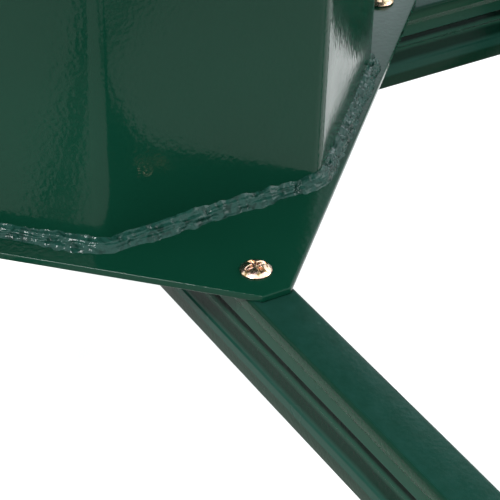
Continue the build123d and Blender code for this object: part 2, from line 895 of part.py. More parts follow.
def make_bearing_seals():
    half = bearing_width / 2
    seals = []
    for centre in bearing_centres():
        for s in (1, -1):
            face = centre + s * half
            lip = sorted((face, face - s * seal_thickness))
            seals.append(ring(race_inner_outer + seal_gap, race_outer_inner, *lip))
    return group(seals)


def make_hub():
    inner, _ = bearing_span()
    return (
        ring(hub_bore, hub_outer, -hub_half_length, hub_half_length)
        + ring(hub_bore - bearing_shoulder, hub_bore, -inner, inner)
    )


def rim_bolt_places():
    return [Rot(0, 0, 360 / rim_bolt_count * i + 45) * Pos(rim_bolt_circle, 0, 0)
            for i in range(rim_bolt_count)]


def rim_outline(side):
    """Pressed half rim: flat web, sloping shoulder, tyre seat and lip."""
    seat_edge = tyre_half_width - tyre_seat_inset
    points = [
        (hub_outer, 0), (rim_seat - rim_shoulder, 0), (rim_seat, rim_dish),
        (rim_seat, seat_edge), (rim_lip, seat_edge), (rim_lip, seat_edge + rim_sheet),
        (rim_seat - rim_sheet, seat_edge + rim_sheet),
        (rim_seat - rim_sheet, rim_dish + rim_sheet / 2),
        (rim_seat - rim_shoulder - 1, rim_sheet), (hub_outer, rim_sheet),
    ]
    return [(r, side * y) for r, y in points]


def make_rim_half(side):
    half = spun(rim_outline(side))
    drill = extrude(Circle(bolt_radius + bolt_clearance), 2 * rim_sheet, both=True)
    for place in rim_bolt_places():
        half -= about_axle(place * drill)
    if side > 0:
        valve_hole = extrude(Circle(valve_radius + valve_clearance), valve_length)
        half -= about_axle(Pos(valve_circle, 0, 0) * valve_hole)
    return half


def make_valve_stem():
    up = extrude(Circle(valve_radius), valve_length)
    root = rim_seat + valve_root - valve_circle
    out = rod(valve_radius, (0, 0, 0), (root, 0, 0))
    return about_axle(Pos(valve_circle, 0, 0) * (up + Sphere(valve_radius) + out))


def make_valve_cap():
    cap = extrude(Circle(valve_cap_radius), valve_cap_length)
    cap -= extrude(Circle(valve_radius), valve_cap_length - valve_cap_end)
    start = valve_length + valve_cap_end - valve_cap_length
    return about_axle(Pos(valve_circle, 0, start) * cap)


def make_rim_bolts():
    length = 2 * rim_sheet + nut_height + bolt_tail
    bolt = Pos(0, 0, -rim_sheet) * Rot(180, 0, 0) * hex_bolt(
        bolt_radius, head_across, head_height, length)
    return group([about_axle(place * bolt) for place in rim_bolt_places()])


def make_rim_nuts():
    nut = Pos(0, 0, rim_sheet + nut_height) * nut_body(bolt_radius, head_across, nut_height)
    return group([about_axle(place * nut) for place in rim_bolt_places()])


def tyre_half_outline(wall):
    """Half section of the tyre from bead to crown, moved inwards by wall."""
    seat_edge = tyre_half_width - tyre_seat_inset
    crown = wheel_radius
    return [
        (rim_seat, seat_edge - wall), (rim_lip, seat_edge - wall),
        (rim_lip + tyre_lip_rise, tyre_half_width - wall),
        (crown - tyre_shoulder_drop, tyre_half_width - 1 - wall),
        (crown - 9 - wall * 0.8, tyre_half_width - 13 - wall * 0.6),
        (crown - wall, tyre_half_width - 30 - wall * 0.4),
    ]


def mirrored(outline):
    return outline + [(r, -y) for r, y in reversed(outline)]


def make_tyre():
    body = spun(mirrored(tyre_half_outline(0))) - spun(mirrored(tyre_half_outline(tyre_wall)))
    for y in (-groove_reach, groove_reach - groove_width):
        floor = wheel_radius - groove_depth
        body -= ring(floor, wheel_radius + groove_depth, y, y + groove_width)
    return body


def make_inner_tube():
    outside = tyre_half_outline(tyre_wall + tube_gap)
    outside[0] = (rim_seat + tube_root_gap, outside[0][1])
    inside = tyre_half_outline(tyre_wall + tube_gap + tube_wall)
    inside[0] = (rim_seat + tube_root_gap + tube_wall, inside[0][1])
    body = spun(mirrored(outside)) - spun(mirrored(inside))
    return body - make_valve_stem()


# ---------------------------------------------------------------- all pieces
save("base_plate", make_base_plate())
save("tub_well", make_tub_well())
save("tub_hopper", make_tub_hopper())
save("rim_tube", make_rim_tube())
save("base_weld", make_base_weld())
save("seam_weld", make_seam_weld())
save("spine_beam", make_spine_beam())
save("beam_end_caps", make_end_caps())
save("beam_clips", make_beam_clips())
save("plate_screws", make_plate_screws())
save("plate_nuts", make_plate_nuts())
save("bolt_saddles", make_bolt_saddles())
save("bridge_blocks", make_bridge_blocks())
save("front_bridge", make_front_bridge())
save("frame_bolts", make_frame_bolts())
save("frame_washers", make_frame_washers())
save("frame_nuts", make_frame_nuts())
save("rear_tie", make_rear_tie())
save("tie_pad", make_tie_pad())
save("stay_bolts", make_stay_bolts())
save("stay_nuts", make_stay_nuts())
for side_name, side_sign in sides:
    save("cross_beam_" + side_name, make_cross_beam(side_sign))
    save("handle_tube_" + side_name, make_handle_tube(side_sign))
    save("grip_" + side_name, make_grip(side_sign))
    save("leg_" + side_name, make_leg(side_sign))
    save("foot_shoe_" + side_name, make_foot_shoe(side_sign))
    save("side_stay_" + side_name, make_side_stay(side_sign))
    save("front_brace_" + side_name, make_front_brace(side_sign))
    save("axle_bracket_" + side_name, make_axle_bracket(side_sign))
    save("rim_half_" + side_name, make_rim_half(side_sign))
save("axle_bolt", make_axle_bolt())
save("axle_nut", make_axle_nut())
save("axle_washers", make_axle_washers())
save("axle_spacers", make_axle_spacers())
save("hub_sleeve", make_hub_sleeve())
save("bearing_inner_races", make_races(axle_radius, race_inner_outer))
save("bearing_outer_races", make_races(race_outer_inner, hub_bore))
save("bearing_balls", make_bearing_balls())
save("bearing_seals", make_bearing_seals())
save("hub", make_hub())
save("valve_stem", make_valve_stem())
save("valve_cap", make_valve_cap())
save("rim_bolts", make_rim_bolts())
save("rim_nuts", make_rim_nuts())
save("tyre", make_tyre())
save("inner_tube", make_inner_tube())
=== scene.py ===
import bmesh
import bpy
import json
from math import atan2, cos, floor, pi, radians, sin, sqrt, tan, tau
from mathutils import Matrix, Vector, noise


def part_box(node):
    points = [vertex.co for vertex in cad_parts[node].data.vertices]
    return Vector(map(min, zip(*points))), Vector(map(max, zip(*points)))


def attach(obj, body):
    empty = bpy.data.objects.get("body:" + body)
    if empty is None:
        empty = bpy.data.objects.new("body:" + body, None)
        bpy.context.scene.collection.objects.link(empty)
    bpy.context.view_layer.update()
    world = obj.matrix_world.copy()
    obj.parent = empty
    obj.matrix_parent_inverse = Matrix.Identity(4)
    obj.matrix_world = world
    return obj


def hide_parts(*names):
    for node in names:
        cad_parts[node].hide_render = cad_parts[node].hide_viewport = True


# A steel wheelbarrow: its looks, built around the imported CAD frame. Metres; +X forward, +Y left.

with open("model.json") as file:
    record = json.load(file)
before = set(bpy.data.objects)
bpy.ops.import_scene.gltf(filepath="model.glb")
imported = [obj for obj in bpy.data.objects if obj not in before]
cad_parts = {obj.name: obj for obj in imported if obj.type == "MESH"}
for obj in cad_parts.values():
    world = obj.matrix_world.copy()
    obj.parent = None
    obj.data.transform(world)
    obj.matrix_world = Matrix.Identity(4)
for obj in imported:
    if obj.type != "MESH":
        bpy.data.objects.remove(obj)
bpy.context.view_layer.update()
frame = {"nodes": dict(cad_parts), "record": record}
MM = 0.001


# ---------------------------------------------------------------- places read from the frame
def middle(node):
    low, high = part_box(node)
    return (low + high) / 2


PLATE_LOW, PLATE_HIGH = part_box("base_plate")
PLATE_X = middle("base_plate").x
PLATE_TOP = PLATE_HIGH.z
BEAM_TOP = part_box("spine_beam")[1].z
BEAM_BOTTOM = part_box("spine_beam")[0].z
BEAM_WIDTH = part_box("spine_beam")[1].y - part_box("spine_beam")[0].y
WELL_LOW, WELL_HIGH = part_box("tub_well")
WELL_TOP_APOTHEM = (WELL_HIGH.x - WELL_LOW.x) / 2
WELL_Y = middle("tub_well").y
HOPPER_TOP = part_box("tub_hopper")[1].z
RIM_LOW, RIM_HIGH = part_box("rim_tube")
AXLE = middle("axle_washers")
WHEEL_RADIUS = (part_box("tyre")[1].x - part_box("tyre")[0].x) / 2
SIDES = (("left", 1), ("right", -1))

# sizes of sections and bends, as the CAD has them
PLATE_CLIP = 11 * MM
SHEET = 2 * MM
WELL_FLARE = radians(1)
WELL_BEND = 13 * MM
RIM_RADIUS = 9 * MM
RIM_BEND = 70 * MM
RIM_CHAMFER = 135 * MM
HANDLE_RADIUS = 14 * MM
HANDLE_WALL = 2 * MM
HANDLE_LEVEL = BEAM_TOP + HANDLE_RADIUS
HANDLE_BEND = 60 * MM
FORK_STRAIGHT = 120 * MM    # straight handle tube behind the axle
HANDLE_TURN = 40 * MM       # ahead of the plate's middle, where the handles close in
HANDLE_RISE = 80 * MM       # behind the plate's middle, where they climb
GRIP_LEAD = 12 * MM         # level tube ahead of a grip
LEG_RADIUS = 12.5 * MM
LEG_BEND = 55 * MM
LEG_FRONT = 48 * MM         # front post's top, behind the plate's middle
LEG_REAR = 345 * MM         # rear strut's top, likewise
SHOE_INSET = 6 * MM
TIE_RADIUS = 11 * MM
TIE_BEND = 70 * MM
TIE_FLAT_HALF = 70 * MM
WELD_LEG = 5.5 * MM

# how finely the meshes are made
MERGE_NEW = 1e-6
MERGE_CAD = 2e-6
TUBE_STEP = 50 * MM         # longest run between two rings of a tube


# ---------------------------------------------------------------- mesh helpers
def mesh_object(name, verts, faces, smooth_angle=40):
    mesh = bpy.data.meshes.new(name)
    mesh.from_pydata([tuple(v) for v in verts], [], faces)
    bm = bmesh.new()
    bm.from_mesh(mesh)
    bmesh.ops.remove_doubles(bm, verts=bm.verts, dist=MERGE_NEW)
    bmesh.ops.recalc_face_normals(bm, faces=bm.faces)
    bm.to_mesh(mesh)
    bm.free()
    return link(name, mesh, smooth_angle)


def link(name, mesh, smooth_angle):
    mesh.shade_smooth()
    mesh.set_sharp_from_angle(angle=radians(smooth_angle))
    obj = bpy.data.objects.new(name, mesh)
    bpy.context.collection.objects.link(obj)
    return obj


def dress(obj, body, slot, material, *nodes):
    """Give a new piece its body and finish, and hide the CAD nodes that it stands for."""
    obj.data.materials.clear()
    obj.data.materials.append(material)
    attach(obj, body)
    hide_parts(*nodes)


def softened(node, width):
    """A copy of a CAD node with its coplanar faces joined and its edges rounded."""
    mesh = frame["nodes"][node].data.copy()
    bm = bmesh.new()
    bm.from_mesh(mesh)
    bmesh.ops.remove_doubles(bm, verts=bm.verts, dist=MERGE_CAD)
    bmesh.ops.dissolve_limit(bm, angle_limit=radians(1.5), verts=bm.verts, edges=bm.edges)
    bm.to_mesh(mesh)
    bm.free()
    obj = link(node + "_soft", mesh, 180)
    bevel = obj.modifiers.new("round", "BEVEL")
    bevel.width, bevel.segments = width, 2
    bevel.limit_method, bevel.angle_limit = "ANGLE", radians(30)
    bevel.use_clamp_overlap = True
    graph = bpy.context.evaluated_depsgraph_get()
    graph.update()
    rounded = bpy.data.meshes.new_from_object(obj.evaluated_get(graph))
    obj.modifiers.clear()
    obj.data = rounded
    rounded.set_sharp_from_angle(angle=radians(50))
    return obj


def ring_faces(rings, count, closed=False):
    """Quads between consecutive rings of count points each."""
    faces = []
    last = rings if closed else rings - 1
    for i in range(last):
        a, b = i * count, ((i + 1) % rings) * count
        for j in range(count):
            k = (j + 1) % count
            faces.append((a + j, a + k, b + k, b + j))
    return faces


def lofted(name, rings, closed=False, smooth_angle=40):
    """Join rings of points into a skin: end to end when closed, otherwise with caps."""
    count = len(rings[0])
    verts = [p for ring in rings for p in ring]
    faces = ring_faces(len(rings), count, closed)
    if not closed:
        faces.append(tuple(reversed(range(count))))
        faces.append(tuple(range((len(rings) - 1) * count, len(rings) * count)))
    return mesh_object(name, verts, faces, smooth_angle)


def about_axle(radius, y, angle):
    return AXLE + Vector((radius * cos(angle), y, radius * sin(angle)))


def revolved(name, outline, steps):
    """Turn a closed outline of (radius, y) about the wheel's axle."""
    rings = [[about_axle(r, y, tau * i / steps) for r, y in outline] for i in range(steps)]
    return lofted(name, rings, closed=True, smooth_angle=50)


def round_corners(points, radius, steps, closed=False):
    """The points of a path with each corner replaced by an arc."""
    points = [Vector(p) for p in points]
    count = len(points)
    path = [] if closed else [points[0]]
    for i in range(count) if closed else range(1, count - 1):
        before, corner, after = points[i - 1], points[i], points[(i + 1) % count]
        u, v = (before - corner).normalized(), (after - corner).normalized()
        turn = pi - u.angle(v)
        reach = radius * tan(turn / 2)
        start, end = corner + u * reach, corner + v * reach
        centre = corner + (u + v).normalized() * (radius / cos(turn / 2))
        first = start - centre
        normal = first.cross(end - centre)
        if normal.length < 1e-12:
            path.append(corner)
            continue
        for j in range(steps + 1):
            spin = Matrix.Rotation(turn * j / steps, 3, normal)
            path.append(centre + spin @ first)
    if not closed:
        path.append(points[-1])
    return path


def spread(path, step, closed=False):
    """Add points so that no run of the path is longer than step."""
    full = []
    count = len(path)
    for i in range(count if closed else count - 1):
        a, b = path[i], path[(i + 1) % count]
        pieces = max(1, round((b - a).length / step))
        full += [a.lerp(b, j / pieces) for j in range(pieces)]
    if not closed:
        full.append(path[-1])
    return full


def frames_along(path, closed=False):
    """A direction and two side vectors at each point, carried along without twist."""
    result, side = [], None
    count = len(path)
    for i, p in enumerate(path):
        before = path[i - 1] if (i or closed) else p
        after = path[(i + 1) % count] if (i < count - 1 or closed) else p
        along = (after - before).normalized()
        if side is None:
            side = along.cross(Vector((0, 0, 1)))
            if side.length < 1e-6:
                side = Vector((0, 1, 0))
        side = (side - along * side.dot(along)).normalized()
        result.append((p, side, along.cross(side)))
    return result


def tube(name, path, radius, wall=0.0, sides=32, closed=False):
    """A round tube along a path, bored through when it has a wall."""
    angles = [tau * j / sides for j in range(sides)]
    stations = frames_along(path, closed)

    def rings(reach, places):
        return [[p + reach * (cos(a) * side + sin(a) * up) for a in angles]
                for p, side, up in places]

    if wall:
        skin = rings(radius, stations) + rings(radius - wall, stations[::-1])
        return lofted(name, skin, closed=True)
    return lofted(name, rings(radius, stations), closed=closed)


def octagon(front, rear, half_width, chamfer, bend, z, centre, flat_steps=10, bend_steps=8):
    """Outline of a rectangle with cut, rounded corners, as points and outward normals."""
    corners = [
        (front, half_width - chamfer), (front - chamfer, half_width),
        (chamfer - rear, half_width), (-rear, half_width - chamfer),
        (-rear, chamfer - half_width), (chamfer - rear, -half_width),
        (front - chamfer, -half_width), (front, chamfer - half_width),
    ]
    arcs = []
    count = len(corners)
    for i in range(count):
        before, corner, after = (Vector(corners[(i + k) % count]) for k in (-1, 0, 1))
        u, v = (before - corner).normalized(), (after - corner).normalized()
        turn = pi - u.angle(v)
        centre_2d = corner + (u + v).normalized() * (bend / cos(turn / 2))
        start = corner + u * bend * tan(turn / 2) - centre_2d
        a0 = atan2(start.y, start.x)
        arc = []
        for j in range(bend_steps + 1):
            a = a0 + turn * j / bend_steps
            n = Vector((cos(a), sin(a)))
            arc.append((centre_2d + bend * n, n))
        arcs.append(arc)
    ring = []
    for i in range(count):
        ring += arcs[i]
        p, n = arcs[i][-1]
        q, m = arcs[(i + 1) % count][0]
        for j in range(1, flat_steps):
            ring.append((p.lerp(q, j / flat_steps), n.lerp(m, j / flat_steps).normalized()))
    x, y = centre
    return [(Vector((p.x + x, p.y + y, z)), Vector((n.x, n.y, 0))) for p, n in ring]


def regular(apothem, bend, z):
    """Outline of the well: a regular octagon around the tub's middle."""
    chamfer = apothem * (2 - sqrt(2))
    return octagon(apothem, apothem, apothem, chamfer, bend, z, (PLATE_X, WELL_Y))


def rim_outline(inset, z, **steps):
    """Outline along the rim tube's middle, moved in by inset."""
    front = RIM_HIGH.x - RIM_RADIUS - PLATE_X - inset
    rear = PLATE_X - RIM_LOW.x - RIM_RADIUS - inset
    half_width = RIM_HIGH.y - RIM_RADIUS - inset
    chamfer = RIM_CHAMFER - inset * (2 - sqrt(2))
    return octagon(front, rear, half_width, chamfer, RIM_BEND - inset, z, (PLATE_X, 0), **steps)


def fractal(point, scale, octaves):
    """Seamless value noise of about -1 to 1 at a point."""
    return noise.fractal(point * scale, 1.0, 2.0, octaves, noise_basis="PERLIN_ORIGINAL")


# ---------------------------------------------------------------- material helpers
class Nodes:
    """Short names for building one node material."""

    def __init__(self, name, base, roughness, metallic=0.0):
        self.material = bpy.data.materials.new(name)
        self.material.use_nodes = True
        self.tree = self.material.node_tree
        self.shader = self.tree.nodes["Principled BSDF"]
        self.set("Base Color", (*base, 1))
        self.set("Roughness", roughness)
        self.set("Metallic", metallic)
        self.place = self.tree.nodes.new("ShaderNodeTexCoord").outputs["Object"]
        self.height = None

    def set(self, socket, value):
        self.shader.inputs[socket].default_value = value

    def link(self, source, target):
        self.tree.links.new(source, target)

    def noise(self, scale, detail=2, rough=0.5, stretch=None, distortion=0.0):
        node = self.tree.nodes.new("ShaderNodeTexNoise")
        node.inputs["Scale"].default_value = scale
        node.inputs["Detail"].default_value = detail
        node.inputs["Roughness"].default_value = rough
        node.inputs["Distortion"].default_value = distortion
        self.link(self.stretched(stretch), node.inputs["Vector"])
        return node.outputs["Fac"]

    def stretched(self, stretch):
        if stretch is None:
            return self.place
        node = self.tree.nodes.new("ShaderNodeMapping")
        node.inputs["Scale"].default_value = stretch
        self.link(self.place, node.inputs["Vector"])
        return node.outputs["Vector"]

    def cells(self, scale):
        node = self.tree.nodes.new("ShaderNodeTexVoronoi")
        node.inputs["Scale"].default_value = scale
        self.link(self.place, node.inputs["Vector"])
        return node.outputs["Distance"]

    def ramp(self, source, *stops):
        """A colour ramp of (position, colour) stops."""
        node = self.tree.nodes.new("ShaderNodeValToRGB")
        band = node.color_ramp
        while len(band.elements) < len(stops):
            band.elements.new(0.5)
        for element, (position, shade) in zip(band.elements, stops):
            element.position = position
            element.color = (*shade, 1)
        self.link(source, node.inputs["Fac"])
        return node.outputs["Color"]

    def span(self, source, low, high, to_low=0.0, to_high=1.0):
        node = self.tree.nodes.new("ShaderNodeMapRange")
        for socket, value in zip(("From Min", "From Max", "To Min", "To Max"),
                                 (low, high, to_low, to_high)):
            node.inputs[socket].default_value = value
        self.link(source, node.inputs["Value"])
        return node.outputs["Result"]

    def colour(self, source, *stops):
        self.link(self.ramp(source, *stops), self.shader.inputs["Base Color"])

    def rough(self, source, low, high, to_low, to_high):
        self.link(self.span(source, low, high, to_low, to_high), self.shader.inputs["Roughness"])

    def bump(self, source, strength, distance):
        """Add a bump on top of the ones before it."""
        node = self.tree.nodes.new("ShaderNodeBump")
        node.inputs["Strength"].default_value = strength
        node.inputs["Distance"].default_value = distance
        self.link(source, node.inputs["Height"])
        if self.height is not None:
            self.link(self.height, node.inputs["Normal"])
        self.height = node.outputs["Normal"]
        self.link(self.height, self.shader.inputs["Normal"])


def green_paint():
    """Gloss powder coat with orange peel and a few dust specks."""
    n = Nodes("green_paint", (0.0014, 0.0175, 0.0095), 0.12)
    n.set("Specular IOR Level", 0.085)
    n.colour(n.noise(9, 4), (0.3, (0.0011, 0.0165, 0.0088)), (0.7, (0.0015, 0.0192, 0.0106)))
    n.rough(n.noise(35, 3), 0.3, 0.7, 0.09, 0.17)
    n.bump(n.noise(360, 1.5, 0.4), 0.28, 0.4 * MM)
    n.bump(n.noise(90, 1), 0.05, 1.0 * MM)
    n.bump(n.span(n.cells(420), 0.0, 0.09, 1.0, 0.0), 0.12, 0.1 * MM)
    return n.material


def weld_paint():
    """The same coat where it has run thin and uneven over the weld."""
    n = Nodes("weld_bead", (0.012, 0.060, 0.046), 0.24)
    n.set("Specular IOR Level", 0.12)
    n.colour(
        n.noise(190, 4, 0.6, distortion=0.5),
        (0.30, (0.0010, 0.008, 0.0052)), (0.42, (0.0028, 0.017, 0.0120)),
        (0.56, (0.0066, 0.028, 0.0215)), (0.72, (0.0024, 0.016, 0.0110)),
    )
    n.rough(n.noise(500, 3), 0.3, 0.7, 0.04, 0.22)
    n.bump(n.noise(420, 3, 0.55), 0.45, 0.6 * MM)
    return n.material


def yellow_zinc():
    """Yellow-passivated zinc with its rainbow patches."""
    n = Nodes("yellow_zinc", (0.72, 0.56, 0.3), 0.22, 1.0)
    n.colour(
        n.noise(260, 3, 0.6, distortion=0.6),
        (0.32, (0.14, 0.08, 0.035)), (0.42, (0.38, 0.24, 0.12)), (0.50, (0.62, 0.42, 0.30)),
        (0.57, (0.56, 0.32, 0.29)), (0.64, (0.54, 0.43, 0.25)), (0.74, (0.26, 0.16, 0.09)),
    )
    n.rough(n.noise(700, 3), 0.3, 0.7, 0.14, 0.34)
    n.bump(n.noise(900, 3), 0.15, 0.15 * MM)
    return n.material


def white_zinc():
    n = Nodes("white_zinc", (0.30, 0.305, 0.31), 0.3, 1.0)
    n.colour(n.noise(180, 4), (0.3, (0.22, 0.225, 0.235)), (0.7, (0.34, 0.345, 0.35)))
    n.rough(n.noise(400, 4), 0.3, 0.7, 0.22, 0.42)
    n.bump(n.noise(900, 3), 0.12, 0.15 * MM)
    return n.material


def black_plastic():
    n = Nodes("black_plastic", (0.006, 0.006, 0.0065), 0.45)
    n.set("Specular IOR Level", 0.2)
    n.colour(n.noise(120, 3), (0.3, (0.0045, 0.0045, 0.005)), (0.7, (0.008, 0.008, 0.0085)))
    n.rough(n.noise(500, 2), 0.3, 0.7, 0.38, 0.55)
    n.bump(n.noise(1500, 2), 0.3, 0.12 * MM)
    return n.material


def rubber(name, shade, roughness, grain=900):
    n = Nodes(name, (shade, shade, shade), roughness)
    n.set("Specular IOR Level", 0.2)
    n.colour(n.noise(45, 5), (0.3, (shade * 0.75,) * 3), (0.7, (shade * 1.35,) * 3))
    n.rough(n.noise(160, 4), 0.3, 0.7, roughness - 0.1, roughness + 0.1)
    n.bump(n.noise(grain, 3), 0.35, 0.2 * MM)
    return n.material


def silver_paint():
    n = Nodes("rim_paint", (0.2, 0.205, 0.21), 0.34, 0.6)
    n.colour(n.noise(50, 5), (0.3, (0.17, 0.175, 0.18)), (0.7, (0.23, 0.235, 0.24)))
    n.rough(n.noise(220, 3), 0.3, 0.7, 0.28, 0.44)
    n.bump(n.noise(1400, 2), 0.2, 0.1 * MM)
    return n.material


def bearing_steel():
    n = Nodes("bearing_steel", (0.3, 0.3, 0.31), 0.15, 1.0)
    n.colour(n.noise(90, 3), (0.3, (0.26, 0.26, 0.27)), (0.7, (0.34, 0.34, 0.345)))
    n.rough(n.noise(300, 3, stretch=(1, 8, 1)), 0.3, 0.7, 0.1, 0.22)
    return n.material


def valve_brass():
    n = Nodes("valve_brass", (0.36, 0.25, 0.1), 0.28, 1.0)
    n.colour(n.noise(150, 4), (0.3, (0.28, 0.19, 0.08)), (0.7, (0.38, 0.28, 0.13)))
    n.rough(n.noise(500, 3), 0.3, 0.7, 0.2, 0.4)
    return n.material


def beam_paint():
    """Satin coat on the ribbed beams, with painted light and shade: stripes by height paint the
    ribs pale on the ledges and dark in the grooves, and a painted sheen makes faces turned up
    paler.
    """
    n = Nodes("green_paint_beam", (0.002, 0.018, 0.009), 0.2)
    n.set("Specular IOR Level", 0.05)
    place = n.tree.nodes.new("ShaderNodeSeparateXYZ")
    n.link(n.place, place.inputs["Vector"])
    wander = n.span(n.noise(26, 3, 0.6), 0, 1, -0.9 * MM, 0.9 * MM)
    level = n.tree.nodes.new("ShaderNodeMath")
    level.operation = "ADD"
    n.link(place.outputs["Z"], level.inputs[0])
    n.link(wander, level.inputs[1])
    # Painted light and shade: these colours by height paint the ribs' ledges lighter and their
    # grooves and creases darker.
    foot, ledge = (0.0009, 0.0120, 0.0058), (0.0050, 0.0255, 0.0175)
    groove, crease = (0.0007, 0.0090, 0.0050), (0.0003, 0.0035, 0.0020)
    shelf, lip = (0.0062, 0.0262, 0.0165), (0.0056, 0.0258, 0.0165)
    slope, flat, edge = (0.0050, 0.0250, 0.0150), (0.0028, 0.0205, 0.0105), (0.0010, 0.0140, 0.0070)
    sides = n.ramp(
        n.span(level.outputs[0], BEAM_BOTTOM, BEAM_TOP),
        (0.165, foot), (0.200, ledge), (0.300, ledge), (0.345, groove), (0.430, groove),
        (0.465, shelf), (0.550, shelf), (0.580, crease), (0.620, crease), (0.655, lip),
        (0.730, slope), (0.790, flat), (0.910, flat), (0.950, edge),
    )
    # Painted sheen: faces turned up get a paler colour that stands in for the light reflected on
    # the beam's top.
    facing = n.tree.nodes.new("ShaderNodeSeparateXYZ")
    n.link(n.place.node.outputs["Normal"], facing.inputs["Vector"])
    painted_top_sheen = n.ramp(n.noise(150, 4, 0.7),
                  (0.3, (0.0034, 0.0185, 0.0125)), (0.7, (0.0052, 0.0235, 0.0175)))
    mix = n.tree.nodes.new("ShaderNodeMix")
    mix.data_type = "RGBA"
    n.link(n.span(facing.outputs["Z"], 0.75, 0.95), mix.inputs["Factor"])
    n.link(sides, mix.inputs["A"])
    n.link(painted_top_sheen, mix.inputs["B"])
    n.link(mix.outputs["Result"], n.shader.inputs["Base Color"])
    n.rough(n.noise(60, 3), 0.3, 0.7, 0.16, 0.28)
    n.bump(n.noise(420, 2, 0.5), 0.35, 0.3 * MM)
    return n.material


PAINT = {
    "green_paint": green_paint(),
    "weld_bead": weld_paint(),
    "yellow_zinc": yellow_zinc(),
    "white_zinc": white_zinc(),
    "black_plastic": black_plastic(),
    "grip_rubber": rubber("grip_rubber", 0.006, 0.55),
    "foot_rubber": rubber("foot_rubber", 0.007, 0.62),
    "rim_paint": silver_paint(),
    "bearing_steel": bearing_steel(),
    "seal_rubber": rubber("seal_rubber", 0.007, 0.4, 1200),
    "tyre_rubber": rubber("tyre_rubber", 0.008, 0.62, 700),
    "tube_rubber": rubber("tube_rubber", 0.007, 0.45, 900),
    "valve_brass": valve_brass(),
}
BEAM_PAINT = beam_paint()
SLOT_OF = {s["node"]: s["material_slot"] for s in frame["record"]["subparts"]}
for node, cad_object in frame["nodes"].items():
    cad_object.data.materials.clear()
    cad_object.data.materials.append(PAINT[SLOT_OF[node]])


def piece(obj, *nodes, body="frame"):
    """Finish a new piece that stands for CAD nodes, in the first one's finish."""
    slot_name = SLOT_OF[nodes[0]]
    dress(obj, body, slot_name, PAINT[slot_name], *nodes)


# ---------------------------------------------------------------- base plate and beams
def plate_ring(inset, z):
    """The plate's outline, a clipped square turned 45 degrees, moved in by inset."""
    half = (PLATE_HIGH.x - PLATE_LOW.x + PLATE_CLIP * sqrt(2)) / 2 / sqrt(2) - inset
    clip = PLATE_CLIP - inset * (2 - sqrt(2))
    outline = octagon(half, half, half, clip, 1.6 * MM, 0, (0, 0), flat_steps=2, bend_steps=3)
    turn = Matrix.Rotation(radians(45), 3, "Z")
    return [turn @ p + Vector((PLATE_X, 0, z)) for p, _ in outline]


def build_plate():
    edge = 0.9 * MM
    steps = 4
    rings = []
    for level, sign in ((PLATE_LOW.z, 1), (PLATE_TOP, -1)):
        arc = []
        for i in range(steps + 1):
            a = pi / 2 * i / steps
            arc.append((edge * (1 - sin(a)), level + sign * edge * (1 - cos(a))))
        rings += arc if sign > 0 else reversed(arc)
    rings = [plate_ring(inset, z) for inset, z in rings]
    return lofted("base_plate_rolled", rings, smooth_angle=50)


RIB_DEPTH = 3.4 * MM
RIB_STEPS = (
    (0.28, 0.0), (0.30, 0.25), (0.47, 1.0), (0.53, 0.40),
    (0.62, 0.95), (0.65, 0.45), (0.77, 0.75), (0.86, 0.0),
)


def beam_outline():
    """Closed outline of the ribbed beam: (across, up) from the middle of its underside."""
    half = BEAM_WIDTH / 2
    tall = BEAM_TOP - BEAM_BOTTOM
    right = [(half - d * RIB_DEPTH, h * tall) for h, d in RIB_STEPS]
    outline = []
    for side in (1, -1):
        ribs = right if side > 0 else right[::-1]
        low, high = (side * half, 0), (side * half, tall)
        run = [low, *[(side * x, y) for x, y in ribs], high]
        outline += run if side > 0 else [high, *[(side * x, y) for x, y in ribs], low]
    corner, rib_round = 2.6 * MM, 0.35 * MM
    points = [Vector((x, y, 0)) for x, y in outline]
    count = len(points)
    rounded = []
    for i, p in enumerate(points):
        is_corner = p.y < MM or p.y > tall - MM
        radius = corner if is_corner else rib_round
        near = [points[i - 1], p, points[(i + 1) % count]]
        rounded += round_corners(near, radius, 6 if is_corner else 2)[1:-1]
    return [(p.x, p.y) for p in rounded]


def build_beam(node, along):
    """Sweep the ribbed section through the node's box, along X or Y."""
    low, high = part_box(node)
    outline = beam_outline()
    rings = []
    count = 24
    for i in range(count + 1):
        share = i / count
        if along == "x":
            x = low.x + share * (high.x - low.x)
            rings.append([Vector((x, u, BEAM_BOTTOM + v)) for u, v in outline])
        else:
            y = low.y + share * (high.y - low.y)
            rings.append([Vector((PLATE_X + u, y, BEAM_BOTTOM + v)) for u, v in outline])
    return lofted(node + "_rolled", rings, smooth_angle=14)


piece(build_plate(), "base_plate")
for node, along in (("spine_beam", "x"), ("cross_beam_left", "y"), ("cross_beam_right", "y")):
    dress(build_beam(node, along), "frame", "green_paint", BEAM_PAINT, node)


# ---------------------------------------------------------------- tub
def buckled(point, normal, amount):
    """Move a point of a sheet by the slight unevenness of a folded panel."""
    return point + normal * amount * fractal(point, 14, 2)


def build_sheet_walls(name, outline_at, low_z, high_z, rows, thickness, buckle):
    """Outer and inner skin of a folded sheet wall between two heights, closed at both ends."""
    rings = []
    for inset in (0, thickness):
        heights = [low_z + (high_z - low_z) * i / rows for i in range(rows + 1)]
        if inset:
            heights.reverse()
        for z in heights:
            edge = min(z - low_z, high_z - z) / (high_z - low_z)
            amount = buckle * min(1, edge * 8)
            rings.append([buckled(p, n, amount) for p, n in outline_at(inset, z)])
    return lofted(name, rings, closed=True, smooth_angle=60)


def well_outline(inset, z):
    apothem = WELL_TOP_APOTHEM - (WELL_HIGH.z - z) * tan(WELL_FLARE) - inset
    return regular(apothem, WELL_BEND - inset, z)


def hopper_outline(inset, z):
    share = (z - WELL_HIGH.z) / (HOPPER_TOP - WELL_HIGH.z)
    low = regular(WELL_TOP_APOTHEM - inset, WELL_BEND - inset, z)
    high = rim_outline(inset, z)
    return [(p.lerp(q, share), n.lerp(m, share).normalized())
            for (p, n), (q, m) in zip(low, high)]


